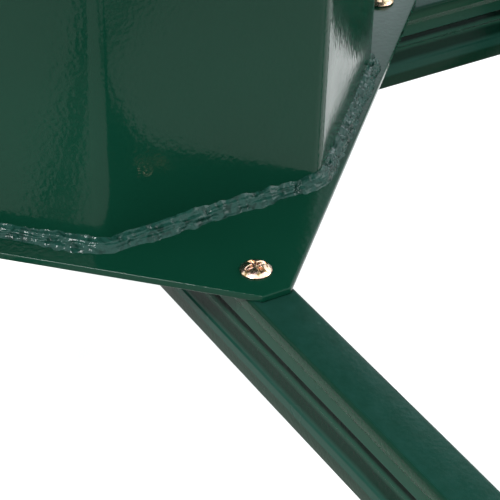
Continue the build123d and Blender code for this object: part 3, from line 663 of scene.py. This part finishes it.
def build_rim():
    centre_z = (RIM_LOW.z + RIM_HIGH.z) / 2
    path = [p for p, _ in rim_outline(0, centre_z, bend_steps=12)]
    return tube("rim_tube_bent", path, RIM_RADIUS, sides=32, closed=True)


def bead(name, outline, leg_up, leg_out, seed, slope=0.0, lump=1.0):
    """A hand-laid fillet weld along a wall's foot: ripples, lumps, pits and uneven toes."""
    step, section_steps = 0.9 * MM, 16
    ripple_pitch = 4.6 * MM
    tuck, sink = 0.6 * MM, 0.2 * MM     # hidden back of the bead, inside wall and plate
    path, outward = [], []
    for i, (p, n) in enumerate(outline):
        q, m = outline[(i + 1) % len(outline)]
        pieces = max(1, round((q - p).length / step))
        for j in range(pieces):
            path.append(p.lerp(q, j / pieces))
            outward.append(n.lerp(m, j / pieces).normalized())
    shift = Vector((seed * 3.7, seed * 1.3, seed * 5.1))
    up_axis = Vector((0, 0, 1))
    travelled = 0.0
    rings = []
    for i, (p, n) in enumerate(zip(path, outward)):
        travelled += (p - path[i - 1]).length if i else 0.0
        swell = 1 + lump * (0.34 * fractal(p + shift, 38, 2) + 0.20 * fractal(p + shift, 150, 2))
        creep = 1 + lump * (0.30 * fractal(p - shift, 45, 2) + 0.22 * fractal(p - shift, 170, 2))
        phase = travelled / ripple_pitch + 0.9 * fractal(p + shift, 80, 1)
        ripple = (phase - floor(phase)) ** 1.6
        up, out = leg_up * swell, leg_out * creep
        ring = []
        for k in range(section_steps + 1):
            a = pi / 2 * k / section_steps
            body = sin(2 * a)
            reach = 1 / (cos(a) / out + sin(a) / up)
            reach *= 1 + 0.20 * body * (0.7 + 0.2 * ripple)
            spot = p + reach * (cos(a) * n + sin(a) * up_axis)
            strand = fractal(Vector((a * 3.2, travelled * 45, seed)), 1.0, 3)
            grit = fractal(spot + shift, 330, 2)
            pit = max(0.0, fractal(spot - shift, 210, 2) - 0.30)
            relief = lump * MM * (0.75 * strand + 0.30 * grit - 4.0 * pit) * min(1, body + 0.3)
            spot += relief * (cos(a) * n + sin(a) * up_axis)
            ring.append(spot + n * slope * max(0.0, spot.z - p.z))
        ring.append(p - n * tuck + Vector((0, 0, up * 0.9)))
        ring.append(p - n * tuck - Vector((0, 0, sink)))
        ring.append(p + n * out * 0.9 - Vector((0, 0, sink)))
        rings.append(ring)
    return lofted(name, rings, closed=True, smooth_angle=70)


piece(build_sheet_walls("tub_well_folded", well_outline, WELL_LOW.z, WELL_HIGH.z,
                        rows=28, thickness=SHEET, buckle=0.22 * MM), "tub_well")
piece(build_sheet_walls("tub_hopper_folded", hopper_outline, WELL_HIGH.z, HOPPER_TOP,
                        rows=24, thickness=SHEET * 1.3, buckle=0.5 * MM), "tub_hopper")
piece(build_rim(), "rim_tube")
piece(bead("base_weld_bead", well_outline(0, PLATE_TOP), 1.12 * WELD_LEG, 1.15 * WELD_LEG,
           seed=1), "base_weld")
piece(bead("seam_weld_bead", well_outline(0, WELL_HIGH.z), 0.6 * WELD_LEG, 0.6 * WELD_LEG,
           seed=2, slope=1.0, lump=0.7), "seam_weld")


# ---------------------------------------------------------------- handles, legs and rear tie
def handle_points(name):
    """Corners of a handle tube, from the fork to the grip's end."""
    low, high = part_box("handle_tube_" + name)
    outer_y = middle("leg_" + name).y
    fork_y = middle("axle_bracket_" + name).y
    grip_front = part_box("grip_" + name)[1].x
    fork_z, grip_z = low.z + HANDLE_RADIUS, high.z - HANDLE_RADIUS
    return [
        (high.x, fork_y, fork_z), (AXLE.x - FORK_STRAIGHT, fork_y, fork_z),
        (PLATE_X + HANDLE_TURN, outer_y, HANDLE_LEVEL),
        (PLATE_X - HANDLE_RISE, outer_y, HANDLE_LEVEL),
        (grip_front + GRIP_LEAD, outer_y, grip_z), (low.x, outer_y, grip_z),
    ]


def handle_height(name, x):
    """Height of a handle tube's middle at x."""
    points = handle_points(name)
    for a, b in zip(points, points[1:]):
        if b[0] <= x <= a[0]:
            return a[2] + (a[0] - x) / (a[0] - b[0]) * (b[2] - a[2])
    return points[-1][2]


def build_handle(name):
    path = spread(round_corners(handle_points(name), HANDLE_BEND, 10), TUBE_STEP)
    return tube("handle_tube_%s_bent" % name, path, HANDLE_RADIUS, HANDLE_WALL, sides=40)


def build_leg(name):
    y = middle("leg_" + name).y
    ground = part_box("leg_" + name)[0].z + LEG_RADIUS
    shoe_low, shoe_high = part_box("foot_shoe_" + name)
    back_x = PLATE_X - LEG_REAR
    points = [
        (PLATE_X - LEG_FRONT, y, HANDLE_LEVEL), (shoe_high.x + SHOE_INSET, y, ground),
        (shoe_low.x - SHOE_INSET, y, ground), (back_x, y, handle_height(name, back_x)),
    ]
    path = spread(round_corners(points, LEG_BEND, 12), TUBE_STEP)
    return tube("leg_%s_bent" % name, path, LEG_RADIUS, sides=36)


def build_rear_tie():
    x = middle("rear_tie").x
    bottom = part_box("rear_tie")[0].z + TIE_RADIUS
    reach = middle("leg_left").y
    top = handle_height("left", x)
    points = [(x, reach, top), (x, TIE_FLAT_HALF, bottom), (x, -TIE_FLAT_HALF, bottom),
              (x, -reach, top)]
    path = spread(round_corners(points, TIE_BEND, 12), TUBE_STEP)
    return tube("rear_tie_bent", path, TIE_RADIUS)


def build_grip(name):
    """Rubber grip: rounded ribs, a flange at the hand stop and a domed end."""
    low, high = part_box("grip_" + name)
    centre = (low + high) / 2
    length = high.x - low.x
    flange, body = (high.z - low.z) / 2, 17.2 * MM
    rib, rib_pitch, rib_start, rib_end = 0.8 * MM, 7.5 * MM, 12 * MM, 14 * MM
    nose, stop_width, stop_ease, stop_edge = 7 * MM, 9 * MM, 4 * MM, 1 * MM
    flute, flutes, flute_start, flute_end = 0.35 * MM, 14, 16 * MM, 18 * MM
    steps, sides = 150, 56
    rings = []
    for i in range(steps + 1):
        s = i / steps * length
        radius = body
        if rib_start < s < length - rib_end:
            radius += rib * abs(sin(pi * (s - rib_start) / rib_pitch)) ** 0.7
        if s < nose:
            radius = body - nose + sqrt(max(0.0, nose ** 2 - (nose - s) ** 2))
        stop = length - s
        if stop < stop_width:
            radius = body + (flange - body) * min(1, (stop_width - stop) / stop_ease) ** 0.5
            if stop < stop_edge:
                radius -= stop_edge - stop
        in_hand = flute_start < s < length - flute_end
        ring = []
        for j in range(sides):
            a = tau * j / sides
            r = radius + (flute * cos(flutes * a) if in_hand else 0)
            ring.append(Vector((low.x + s, centre.y + r * cos(a), centre.z + r * sin(a))))
        rings.append(ring)
    return lofted("grip_%s_ribbed" % name, rings, smooth_angle=50)


for name, _ in SIDES:
    piece(build_handle(name), "handle_tube_" + name)
    piece(build_leg(name), "leg_" + name)
    piece(build_grip(name), "grip_" + name)
piece(build_rear_tie(), "rear_tie")


# ---------------------------------------------------------------- plate screws
def islands(node):
    """The separate solids of a CAD node, each as a list of points."""
    bm = bmesh.new()
    bm.from_mesh(frame["nodes"][node].data)
    bmesh.ops.remove_doubles(bm, verts=bm.verts, dist=MERGE_CAD)
    found, seen = [], set()
    for start in bm.verts:
        if start in seen:
            continue
        stack, group = [start], []
        seen.add(start)
        while stack:
            v = stack.pop()
            group.append(v.co.copy())
            for e in v.link_edges:
                w = e.other_vert(v)
                if w not in seen:
                    seen.add(w)
                    stack.append(w)
        found.append(group)
    bm.free()
    return found


def smooth_step(value):
    value = min(1.0, max(0.0, value))
    return value * value * (3 - 2 * value)


def screw_surface(r, a, turn, head, height):
    """Height of a pan head at (r, a): a low dome with a tapered cross recess."""
    arm_reach, end_fade = 6.2 * MM, 1.2 * MM
    arm_half, wall_fade = 1.55 * MM, 0.6 * MM
    deep, taper = 2.6 * MM, 1.2 * MM
    dome = height * (1 - 0.78 * (r / head) ** 3)
    recess = 0.0
    for arm in (0, pi / 2):
        x = r * cos(a - turn - arm)
        y = r * sin(a - turn - arm)
        wall = smooth_step((arm_half - abs(y)) / wall_fade)
        end = smooth_step((arm_reach - abs(x)) / end_fade)
        depth = deep - taper * min(1.0, abs(x) / arm_reach)
        recess = max(recess, wall * end * depth)
    return dome - recess


def build_screws():
    """Pan-head screws on the plate, each turned differently, with a plain shank below."""
    head, height, skirt, shank = 8.0 * MM, 3.9 * MM, 0.6 * MM, 4 * MM
    verts, faces = [], []
    rings, sides = 56, 120
    for number, points in enumerate(islands("plate_screws")):
        low = Vector([min(p[k] for p in points) for k in range(3)])
        high = Vector([max(p[k] for p in points) for k in range(3)])
        centre = (low + high) / 2
        turn = radians(25 + 70 * number)
        start = len(verts)
        for i in range(rings + 1):
            r = head * sin(pi / 2 * i / rings) ** 0.9
            for j in range(sides):
                a = tau * j / sides
                z = PLATE_TOP + screw_surface(r, a, turn, head, height)
                z += 0.06 * MM * fractal(Vector((r * cos(a), r * sin(a), number)), 600, 2)
                verts.append((centre.x + r * cos(a), centre.y + r * sin(a), z))
        below = [(head, PLATE_TOP + skirt), (0.985 * head, PLATE_TOP),
                 (shank, PLATE_TOP - 2 * MM), (shank, low.z)]
        for r, z in below:
            for j in range(sides):
                a = tau * j / sides
                verts.append((centre.x + r * cos(a), centre.y + r * sin(a), z))
        total = rings + 1 + len(below)
        block = ring_faces(total, sides)
        block.append(tuple((total - 1) * sides + j for j in range(sides)))
        faces += [tuple(start + k for k in face) for face in block]
    return mesh_object("plate_screws_pan", verts, faces, smooth_angle=60)


piece(build_screws(), "plate_screws")


# ---------------------------------------------------------------- wheel
def tread_height(across, angle):
    """Depth below the crown, from 0 at a block's top to 1 in a groove."""
    pitch = tau / 44            # one tread block
    groove, groove_half, groove_fade = 13 * MM, 1.6 * MM, 1.4 * MM
    gap, gap_grow, gap_fade = 0.13, 0.10, 0.07      # shares of the pitch
    zigzag = 2.2 * MM * (abs(((angle / pitch) % 1) - 0.5) * 4 - 1)
    y = across + zigzag
    depth = 0.0
    for line in (-groove, groove):
        depth = max(depth, 1 - smooth_step((abs(y - line) - groove_half) / groove_fade))
    if abs(across) < groove:
        sipe = ((angle + across * 1.6) / pitch) % 1
        reach = smooth_step((abs(across) - 5 * MM) / (2 * MM))
        cut = 1 - smooth_step((abs(sipe - 0.5) - gap_fade) / gap_fade)
        depth = max(depth, 0.6 * reach * cut)
    else:
        shoulder = (angle / pitch + (0.5 if across > 0 else 0.0)) % 1
        width = gap + gap_grow * min(1, (abs(across) - groove) / (30 * MM))
        depth = max(depth, 1 - smooth_step((abs(shoulder - 0.5) - width) / gap_fade))
    return depth


def tyre_section():
    """Half outline from crown to bead as (radius, y), sampled along smooth curves."""
    crown = WHEEL_RADIUS
    fine_spans, fine, coarse = 4, 8, 3      # samples per span, on the tread and beyond it
    control = [
        (crown, 0.0), (crown - 0.0012, 0.014), (crown - 0.0045, 0.026), (crown - 0.0115, 0.0365),
        (crown - 0.024, 0.0445), (crown - 0.043, 0.0490), (crown - 0.062, 0.0494),
        (crown - 0.078, 0.0470), (crown - 0.090, 0.0440), (crown - 0.0955, 0.0430),
        (0.0985, 0.0424), (0.0885, 0.0424),
    ]
    samples = []
    for i in range(len(control) - 1):
        p0 = control[max(0, i - 1)]
        p1, p2 = control[i], control[i + 1]
        p3 = control[min(len(control) - 1, i + 2)]
        if i == 0:
            p0 = (p2[0], -p2[1])
        pieces = fine if i < fine_spans else coarse
        for j in range(pieces):
            t = j / pieces
            samples.append(tuple(
                0.5 * (2 * b + (c - a) * t + (2 * a - 5 * b + 4 * c - d) * t * t
                       + (3 * b - a - 3 * c + d) * t ** 3)
                for a, b, c, d in zip(p0, p1, p2, p3)))
    samples.append(control[-1])
    return samples


def build_tyre():
    """The tyre's section turned about the axle, with tread cut in and two ribs on each wall."""
    tread_from, tread_fade, tread_depth = WHEEL_RADIUS - 0.030, 0.012, 5.5 * MM
    rib_width, rib_height = 1.5 * MM, 0.6 * MM
    half = tyre_section()
    section = [(r, -y) for r, y in reversed(half[1:])] + half
    inner = [(0.0885, 0.034), (0.112, 0.036), (0.150, 0.0400), (0.178, 0.032), (0.190, 0.010)]
    inner += [(r, -y) for r, y in reversed(inner)]
    steps = 528
    rings = []
    for i in range(steps):
        a = tau * i / steps
        ring = []
        for r, y in section:
            if r > tread_from:
                fade = smooth_step((r - tread_from) / tread_fade)
                r -= tread_depth * fade * tread_height(y, a)
            elif any(rib < r < rib + rib_width for rib in (0.118, 0.150)):
                y += rib_height * (1 if y > 0 else -1)
            ring.append(about_axle(r, y, a))
        ring += [about_axle(r, y, a) for r, y in inner]
        rings.append(ring)
    return lofted("tyre_treaded", rings, closed=True, smooth_angle=55)


def soft_outline(points, radius):
    path = round_corners([Vector((r, y, 0)) for r, y in points], radius, 5, closed=True)
    return [(p.x, p.y) for p in path]


def build_rim_half(name, side):
    """Pressed half rim with a dished web, tyre seat and rolled lip."""
    hub, seat, lip = 23 * MM, 87 * MM, 104 * MM
    edge, sheet, dish = 43 * MM, 3 * MM, 14 * MM
    points = [
        (hub, 0), (seat - 19 * MM, 0), (seat, dish), (seat, edge), (lip, edge),
        (lip, edge + sheet), (seat - sheet, edge + sheet), (seat - sheet, dish + sheet / 2),
        (seat - 20 * MM, sheet), (hub, sheet),
    ]
    outline = soft_outline([(r, side * y) for r, y in points], 1.2 * MM)
    return revolved("rim_half_%s_pressed" % name, outline, 120)


def build_hub():
    low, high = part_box("hub")
    bore, radius, half = 20 * MM, (high.x - low.x) / 2, high.y
    points = [(bore, -half), (radius, -half), (radius, half), (bore, half)]
    return revolved("hub_turned", soft_outline(points, 0.8 * MM), 96)


piece(build_tyre(), "tyre", body="wheel")
for name, side in SIDES:
    piece(build_rim_half(name, side), "rim_half_" + name, body="wheel")
piece(build_hub(), "hub", body="wheel")


# ---------------------------------------------------------------- plates, brackets and fasteners
# how far each CAD node's edges are rounded, in mm
ROUNDED = {
    "beam_end_caps": 0.8, "beam_clips": 0.5, "front_bridge": 0.8, "bridge_blocks": 0.8,
    "foot_shoe_left": 1.6, "foot_shoe_right": 1.6, "side_stay_left": 0.7, "side_stay_right": 0.7,
    "front_brace_left": 0.7, "front_brace_right": 0.7, "axle_bracket_left": 0.8,
    "axle_bracket_right": 0.8, "bolt_saddles": 0.5, "tie_pad": 0.5, "frame_bolts": 0.35,
    "frame_washers": 0.25, "frame_nuts": 0.35, "stay_bolts": 0.3, "stay_nuts": 0.3,
    "axle_bolt": 0.6, "axle_nut": 0.6, "axle_washers": 0.3, "axle_spacers": 0.4,
}
WHEEL_ROUNDED = {"rim_bolts": 0.35, "rim_nuts": 0.35, "valve_stem": 0.3, "valve_cap": 0.6}
for body, widths in (("frame", ROUNDED), ("wheel", WHEEL_ROUNDED)):
    for node, width in widths.items():
        piece(softened(node, width * MM), node, body=body)


# ---------------------------------------------------------------- camera, light and floor
def place_camera():
    """A long lens behind the barrow, looking down past the plate's rear corner."""
    corner = Vector((PLATE_LOW.x - PLATE_CLIP / sqrt(2), 0, PLATE_TOP))
    heading, pitch, roll = radians(-30.68), radians(34.43), radians(0.96)
    aside, above, behind = 0.01706, 0.02401, 1.0522    # from the corner, along the view's axes
    forward = Vector((cos(pitch) * cos(heading), cos(pitch) * sin(heading), -sin(pitch)))
    level_right = Vector((sin(heading), -cos(heading), 0))
    level_up = level_right.cross(forward)
    right = cos(roll) * level_right + sin(roll) * level_up
    up = cos(roll) * level_up - sin(roll) * level_right
    data = bpy.data.cameras.new("camera")
    data.sensor_width, data.lens = 36, 158.4
    data.clip_end = 200
    camera = bpy.data.objects.new("camera", data)
    bpy.context.collection.objects.link(camera)
    spot = corner - aside * right + above * up - behind * forward
    turn = Matrix((right, up, -forward)).transposed().to_4x4()
    camera.matrix_world = Matrix.Translation(spot) @ turn
    bpy.context.scene.camera = camera


def soft_light(name, spot, target, width, height, power):
    data = bpy.data.lights.new(name, "AREA")
    data.shape, data.size, data.size_y = "RECTANGLE", width, height
    data.energy = power
    light = bpy.data.objects.new(name, data)
    bpy.context.collection.objects.link(light)
    aim = (Vector(target) - Vector(spot)).to_track_quat("-Z", "Y")
    light.matrix_world = Matrix.Translation(spot) @ aim.to_matrix().to_4x4()


def build_floor():
    """A plain pale floor, wide enough to fill every view down to the horizon."""
    size = 60
    corners = [(-size, -size, 0), (size, -size, 0), (size, size, 0), (-size, size, 0)]
    mesh = bpy.data.meshes.new("floor")
    mesh.from_pydata(corners, [], [(0, 1, 2, 3)])
    obj = bpy.data.objects.new("floor", mesh)
    bpy.context.collection.objects.link(obj)
    n = Nodes("floor", (0.64, 0.575, 0.555), 0.8)
    n.colour(n.noise(0.8, 2), (0.3, (0.63, 0.565, 0.545)), (0.7, (0.65, 0.585, 0.565)))
    mesh.materials.append(n.material)


def light_the_set():
    """A bright, even sky with a small key lamp for sparkle and a soft fill."""
    world = bpy.data.worlds.new("studio")
    bpy.context.scene.world = world
    world.use_nodes = True
    sky = world.node_tree.nodes["Background"]
    sky.inputs["Color"].default_value = (0.84, 0.96, 1, 1)
    sky.inputs["Strength"].default_value = 3.0
    tub_height = (0, 0, 0.3)
    soft_light("key", (-1.3, 2.6, 3.4), tub_height, 0.8, 0.8, 190)
    soft_light("fill", (-1.5, -3.2, 2.4), tub_height, 2.4, 2.0, 70)
    bpy.context.scene.view_settings.view_transform = "Standard"


place_camera()
build_floor()
light_the_set()
